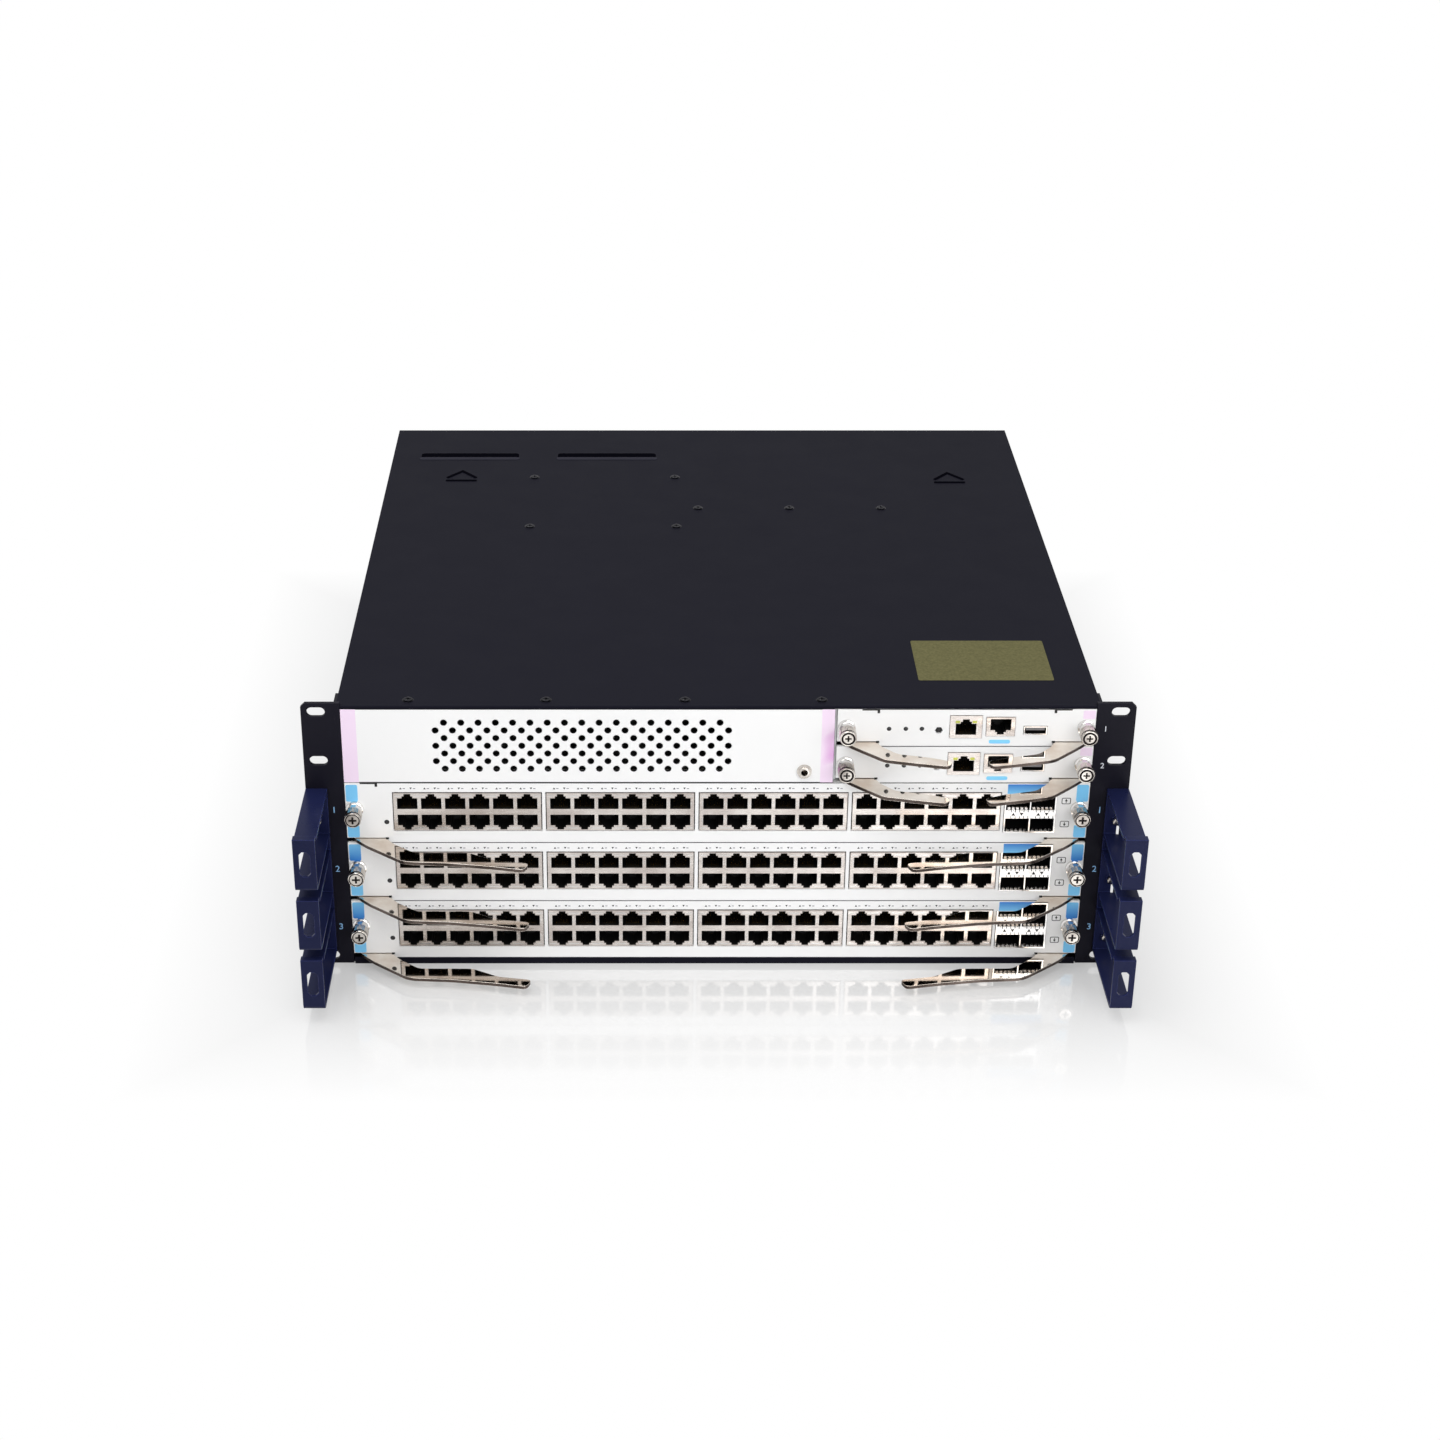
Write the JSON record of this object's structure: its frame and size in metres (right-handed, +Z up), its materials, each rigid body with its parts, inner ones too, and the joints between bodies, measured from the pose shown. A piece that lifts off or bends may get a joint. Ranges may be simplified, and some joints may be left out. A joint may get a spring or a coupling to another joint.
{
  "type": "modular chassis switch",
  "caption": "Rack chassis for a network switch with plug-in line cards and supervisors held by captive screws and ejector levers.",
  "frame": {"origin": "centre of the underside of the chassis, halfway along its depth without levers, brackets and handles", "axes": "+X to the right seen from the front, +Y to the rear, +Z up"},
  "size_m": [0.4826, 0.5365, 0.1768],
  "materials": {
    "dark_powder_coat": "satin dark blue-black powder coat",
    "black_screw": "black zinc screw heads",
    "bare_zinc": "bare zinc-coated sheet",
    "circuit_board": "green solder mask on glass laminate",
    "white_front": "satin white paint",
    "nickel_plate": "bright nickel plate",
    "polished_nickel": "mirror-polished nickel plate",
    "navy_coat": "glossy navy paint",
    "supply_case": "zinc-coated case, filled with parts",
    "fan_tray_sheet": "satin dark powder coat",
    "black_plastic": "black moulded plastic",
    "socket_shield": "tin-plated socket shield"
  },
  "bodies": {
    "chassis": {"chassis_tub": "dark_powder_coat", "top_cover": "dark_powder_coat", "cover_screws": "black_screw", "bay_dividers": "bare_zinc", "board_guides": "bare_zinc", "backplane": "circuit_board", "vent_panel": "white_front", "wrist_strap_jack": "nickel_plate", "rack_ear_left": "dark_powder_coat", "rack_ear_right": "dark_powder_coat", "cable_bracket_left": "navy_coat", "cable_bracket_right": "navy_coat", "rear_panel": "dark_powder_coat", "power_board": "circuit_board"},
    "power_supply_1": {"power_supply_1": "supply_case"},
    "power_supply_2": {"power_supply_2": "supply_case"},
    "fan_tray": {"fan_tray": "fan_tray_sheet"},
    "fan_rotor_1": {"fan_rotor_1": "black_plastic"},
    "fan_rotor_2": {"fan_rotor_2": "black_plastic"},
    "fan_rotor_3": {"fan_rotor_3": "black_plastic"},
    "line_card_1": {"line_card_1_faceplate": "white_front", "line_card_1_board": "circuit_board", "line_card_1_port_blocks": "socket_shield", "line_card_1_fibre_cage": "socket_shield"},
    "line_card_1_lever_left": {"line_card_1_lever_left": "polished_nickel"},
    "line_card_1_screw_left": {"line_card_1_screw_left": "nickel_plate"},
    "line_card_1_lever_right": {"line_card_1_lever_right": "polished_nickel"},
    "line_card_1_screw_right": {"line_card_1_screw_right": "nickel_plate"},
    "line_card_2": {"line_card_2_faceplate": "white_front", "line_card_2_board": "circuit_board", "line_card_2_port_blocks": "socket_shield", "line_card_2_fibre_cage": "socket_shield"},
    "line_card_2_lever_left": {"line_card_2_lever_left": "polished_nickel"},
    "line_card_2_screw_left": {"line_card_2_screw_left": "nickel_plate"},
    "line_card_2_lever_right": {"line_card_2_lever_right": "polished_nickel"},
    "line_card_2_screw_right": {"line_card_2_screw_right": "nickel_plate"},
    "line_card_3": {"line_card_3_faceplate": "white_front", "line_card_3_board": "circuit_board", "line_card_3_port_blocks": "socket_shield", "line_card_3_fibre_cage": "socket_shield"},
    "line_card_3_lever_left": {"line_card_3_lever_left": "polished_nickel"},
    "line_card_3_screw_left": {"line_card_3_screw_left": "nickel_plate"},
    "line_card_3_lever_right": {"line_card_3_lever_right": "polished_nickel"},
    "line_card_3_screw_right": {"line_card_3_screw_right": "nickel_plate"},
    "supervisor_1": {"supervisor_1_faceplate": "white_front", "supervisor_1_board": "circuit_board", "supervisor_1_sockets": "socket_shield"},
    "supervisor_1_lever_left": {"supervisor_1_lever_left": "polished_nickel"},
    "supervisor_1_screw_left": {"supervisor_1_screw_left": "nickel_plate"},
    "supervisor_1_lever_right": {"supervisor_1_lever_right": "polished_nickel"},
    "supervisor_1_screw_right": {"supervisor_1_screw_right": "nickel_plate"},
    "supervisor_1_reset_button": {"supervisor_1_reset_button": "black_plastic"},
    "supervisor_2": {"supervisor_2_faceplate": "white_front", "supervisor_2_board": "circuit_board", "supervisor_2_sockets": "socket_shield"},
    "supervisor_2_lever_left": {"supervisor_2_lever_left": "polished_nickel"},
    "supervisor_2_screw_left": {"supervisor_2_screw_left": "nickel_plate"},
    "supervisor_2_lever_right": {"supervisor_2_lever_right": "polished_nickel"},
    "supervisor_2_screw_right": {"supervisor_2_screw_right": "nickel_plate"},
    "supervisor_2_reset_button": {"supervisor_2_reset_button": "black_plastic"}
  },
  "joints": [
    {"name": "line_card_1_slide", "type": "slide", "parent": "chassis", "child": "line_card_1", "axis": [0, -1, 0], "range_m": [0, 0.3]},
    {"name": "line_card_1_lever_left_swing", "type": "hinge", "parent": "line_card_1", "child": "line_card_1_lever_left", "pos_m": [-0.208, -0.2175, 0.08635], "axis": [0, 0, 1], "range_deg": [-45, 0]},
    {"name": "line_card_1_screw_left_turn", "type": "hinge", "parent": "line_card_1", "child": "line_card_1_screw_left", "pos_m": [-0.213, -0.235, 0.1075], "axis": [0, 1, 0], "continuous": true},
    {"name": "line_card_1_lever_right_swing", "type": "hinge", "parent": "line_card_1", "child": "line_card_1_lever_right", "pos_m": [0.208, -0.2175, 0.08635], "axis": [0, 0, 1], "range_deg": [0, 45]},
    {"name": "line_card_1_screw_right_turn", "type": "hinge", "parent": "line_card_1", "child": "line_card_1_screw_right", "pos_m": [0.213, -0.235, 0.1075], "axis": [0, 1, 0], "continuous": true},
    {"name": "line_card_2_slide", "type": "slide", "parent": "chassis", "child": "line_card_2", "axis": [0, -1, 0], "range_m": [0, 0.3]},
    {"name": "line_card_2_lever_left_swing", "type": "hinge", "parent": "line_card_2", "child": "line_card_2_lever_left", "pos_m": [-0.208, -0.2175, 0.04625], "axis": [0, 0, 1], "range_deg": [-45, 0]},
    {"name": "line_card_2_screw_left_turn", "type": "hinge", "parent": "line_card_2", "child": "line_card_2_screw_left", "pos_m": [-0.213, -0.235, 0.0674], "axis": [0, 1, 0], "continuous": true},
    {"name": "line_card_2_lever_right_swing", "type": "hinge", "parent": "line_card_2", "child": "line_card_2_lever_right", "pos_m": [0.208, -0.2175, 0.04625], "axis": [0, 0, 1], "range_deg": [0, 45]},
    {"name": "line_card_2_screw_right_turn", "type": "hinge", "parent": "line_card_2", "child": "line_card_2_screw_right", "pos_m": [0.213, -0.235, 0.0674], "axis": [0, 1, 0], "continuous": true},
    {"name": "line_card_3_slide", "type": "slide", "parent": "chassis", "child": "line_card_3", "axis": [0, -1, 0], "range_m": [0, 0.3]},
    {"name": "line_card_3_lever_left_swing", "type": "hinge", "parent": "line_card_3", "child": "line_card_3_lever_left", "pos_m": [-0.208, -0.2175, 0.00615], "axis": [0, 0, 1], "range_deg": [-45, 0]},
    {"name": "line_card_3_screw_left_turn", "type": "hinge", "parent": "line_card_3", "child": "line_card_3_screw_left", "pos_m": [-0.213, -0.235, 0.0273], "axis": [0, 1, 0], "continuous": true},
    {"name": "line_card_3_lever_right_swing", "type": "hinge", "parent": "line_card_3", "child": "line_card_3_lever_right", "pos_m": [0.208, -0.2175, 0.00615], "axis": [0, 0, 1], "range_deg": [0, 45]},
    {"name": "line_card_3_screw_right_turn", "type": "hinge", "parent": "line_card_3", "child": "line_card_3_screw_right", "pos_m": [0.213, -0.235, 0.0273], "axis": [0, 1, 0], "continuous": true},
    {"name": "supervisor_1_slide", "type": "slide", "parent": "chassis", "child": "supervisor_1", "axis": [0, -1, 0], "range_m": [0, 0.3]},
    {"name": "supervisor_1_lever_left_swing", "type": "hinge", "parent": "supervisor_1", "child": "supervisor_1_lever_left", "pos_m": [0.0794, -0.2175, 0.15065], "axis": [0, 0, 1], "range_deg": [-45, 0]},
    {"name": "supervisor_1_screw_left_turn", "type": "hinge", "parent": "supervisor_1", "child": "supervisor_1_screw_left", "pos_m": [0.0744, -0.235, 0.1613], "axis": [0, 1, 0], "continuous": true},
    {"name": "supervisor_1_lever_right_swing", "type": "hinge", "parent": "supervisor_1", "child": "supervisor_1_lever_right", "pos_m": [0.208, -0.2175, 0.15065], "axis": [0, 0, 1], "range_deg": [0, 45]},
    {"name": "supervisor_1_screw_right_turn", "type": "hinge", "parent": "supervisor_1", "child": "supervisor_1_screw_right", "pos_m": [0.213, -0.235, 0.1613], "axis": [0, 1, 0], "continuous": true},
    {"name": "supervisor_1_reset_button_press", "type": "slide", "parent": "supervisor_1", "child": "supervisor_1_reset_button", "axis": [0, 1, 0], "range_m": [0, 0.001], "stiffness_N_per_m": 400},
    {"name": "supervisor_2_slide", "type": "slide", "parent": "chassis", "child": "supervisor_2", "axis": [0, -1, 0], "range_m": [0, 0.3]},
    {"name": "supervisor_2_lever_left_swing", "type": "hinge", "parent": "supervisor_2", "child": "supervisor_2_lever_left", "pos_m": [0.0794, -0.2175, 0.12655], "axis": [0, 0, 1], "range_deg": [-45, 0]},
    {"name": "supervisor_2_screw_left_turn", "type": "hinge", "parent": "supervisor_2", "child": "supervisor_2_screw_left", "pos_m": [0.0744, -0.235, 0.1372], "axis": [0, 1, 0], "continuous": true},
    {"name": "supervisor_2_lever_right_swing", "type": "hinge", "parent": "supervisor_2", "child": "supervisor_2_lever_right", "pos_m": [0.208, -0.2175, 0.12655], "axis": [0, 0, 1], "range_deg": [0, 45]},
    {"name": "supervisor_2_screw_right_turn", "type": "hinge", "parent": "supervisor_2", "child": "supervisor_2_screw_right", "pos_m": [0.213, -0.235, 0.1372], "axis": [0, 1, 0], "continuous": true},
    {"name": "supervisor_2_reset_button_press", "type": "slide", "parent": "supervisor_2", "child": "supervisor_2_reset_button", "axis": [0, 1, 0], "range_m": [0, 0.001], "stiffness_N_per_m": 400},
    {"name": "power_supply_1_slide", "type": "slide", "parent": "chassis", "child": "power_supply_1", "axis": [0, 1, 0], "range_m": [0, 0.24]},
    {"name": "power_supply_2_slide", "type": "slide", "parent": "chassis", "child": "power_supply_2", "axis": [0, 1, 0], "range_m": [0, 0.24]},
    {"name": "fan_tray_slide", "type": "slide", "parent": "chassis", "child": "fan_tray", "axis": [0, 1, 0], "range_m": [0, 0.1]},
    {"name": "fan_rotor_1_spin", "type": "hinge", "parent": "fan_tray", "child": "fan_rotor_1", "pos_m": [-0.138, 0.195, 0.063], "axis": [0, 1, 0], "continuous": true},
    {"name": "fan_rotor_2_spin", "type": "hinge", "parent": "fan_tray", "child": "fan_rotor_2", "pos_m": [0, 0.195, 0.063], "axis": [0, 1, 0], "continuous": true},
    {"name": "fan_rotor_3_spin", "type": "hinge", "parent": "fan_tray", "child": "fan_rotor_3", "pos_m": [0.138, 0.195, 0.063], "axis": [0, 1, 0], "continuous": true}
  ]
}
